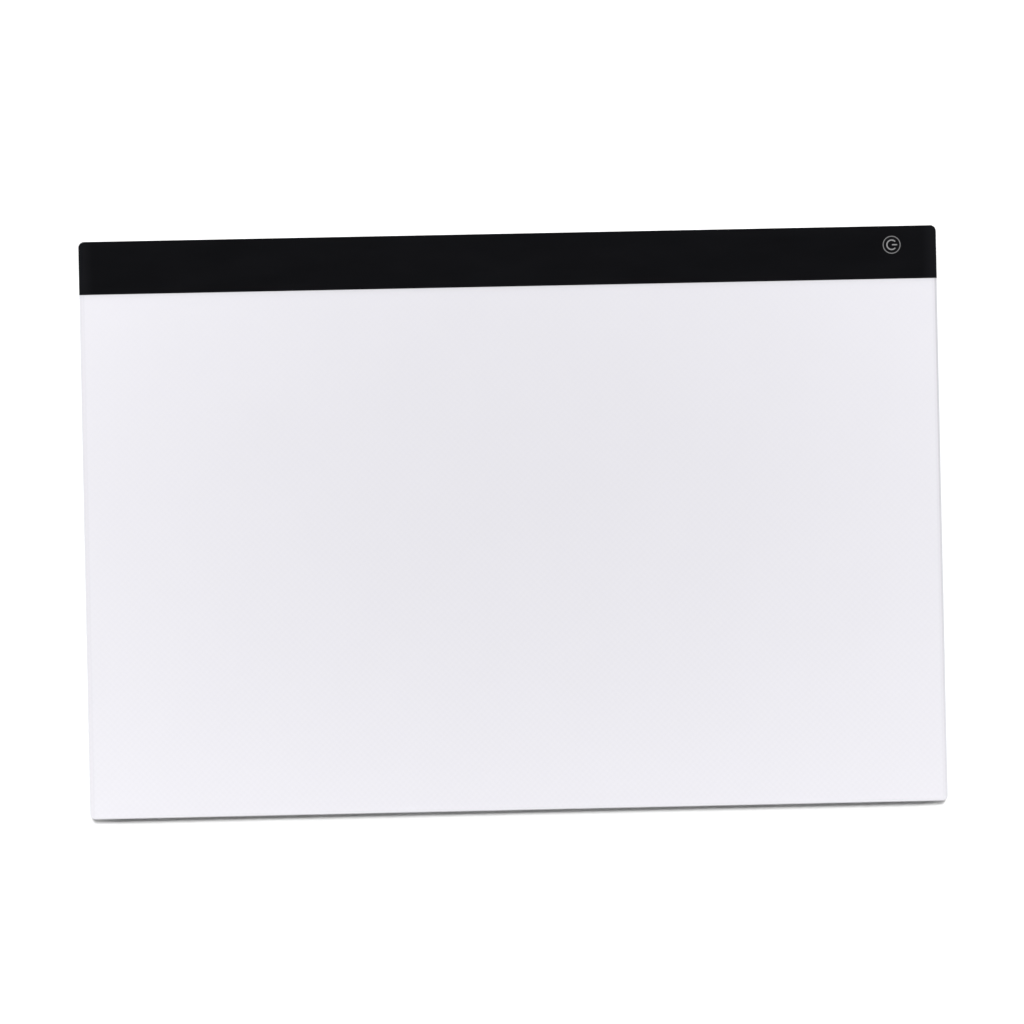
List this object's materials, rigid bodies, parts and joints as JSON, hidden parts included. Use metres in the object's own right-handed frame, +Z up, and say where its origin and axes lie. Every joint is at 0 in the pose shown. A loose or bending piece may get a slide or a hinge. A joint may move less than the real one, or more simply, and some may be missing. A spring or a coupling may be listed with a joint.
{
  "type": "light box",
  "caption": "Slim rectangular LED tracing pad: white tray, opal lit panel, black header strip with a round touch key, side power inlet and rubber feet.",
  "frame": {"origin": "middle of the rectangular outline, on the plane that the rubber feet stand on", "axes": "+X along the long side, +Y across the pad towards the black header strip, +Z up out of the lit face"},
  "size_m": [0.36, 0.242, 0.006],
  "materials": {
    "tray_white": "satin",
    "opal_panel": "matte",
    "header_black": "satin",
    "key_print": "matte",
    "tape_white": "satin",
    "foot_rubber": "matte",
    "reflector_white": "satin",
    "acrylic_clear": "gloss",
    "foam_grey": "matte",
    "diffuser_film": "matte",
    "tape_black": "satin",
    "board_white": "satin",
    "led_case": "satin",
    "chip_black": "matte",
    "board_green": "satin",
    "ceramic_tan": "matte",
    "socket_steel": "satin",
    "insulator_black": "matte",
    "contact_gold": "polished",
    "lead_red": "satin",
    "lead_black": "satin",
    "solder_bright": "polished"
  },
  "bodies": {
    "root": {"back_cover": "tray_white", "cover_panel": "opal_panel", "header_overlay": "header_black", "power_icon": "key_print", "panel_tape": "tape_white", "led_board_tape": "tape_white", "board_tape": "tape_white", "foot_front_left": "foot_rubber", "foot_front_middle": "foot_rubber", "foot_front_right": "foot_rubber", "foot_rear_left": "foot_rubber", "foot_rear_middle": "foot_rubber", "foot_rear_right": "foot_rubber", "reflector_sheet": "reflector_white", "light_guide_plate": "acrylic_clear", "light_guide_foam": "foam_grey", "touch_foam_pad": "foam_grey", "diffuser_sheet": "diffuser_film", "light_blocking_tape": "tape_black", "led_board": "board_white", "side_leds": "led_case", "led_resistors": "chip_black", "chip_resistors": "chip_black", "touch_controller": "chip_black", "dimmer_mosfet": "chip_black", "control_board": "board_green", "chip_capacitors": "ceramic_tan", "usb_shell": "socket_steel", "usb_insulator": "insulator_black", "usb_contacts": "contact_gold", "lead_positive": "lead_red", "lead_negative": "lead_black", "solder_joints": "solder_bright"}
  },
  "joints": []
}
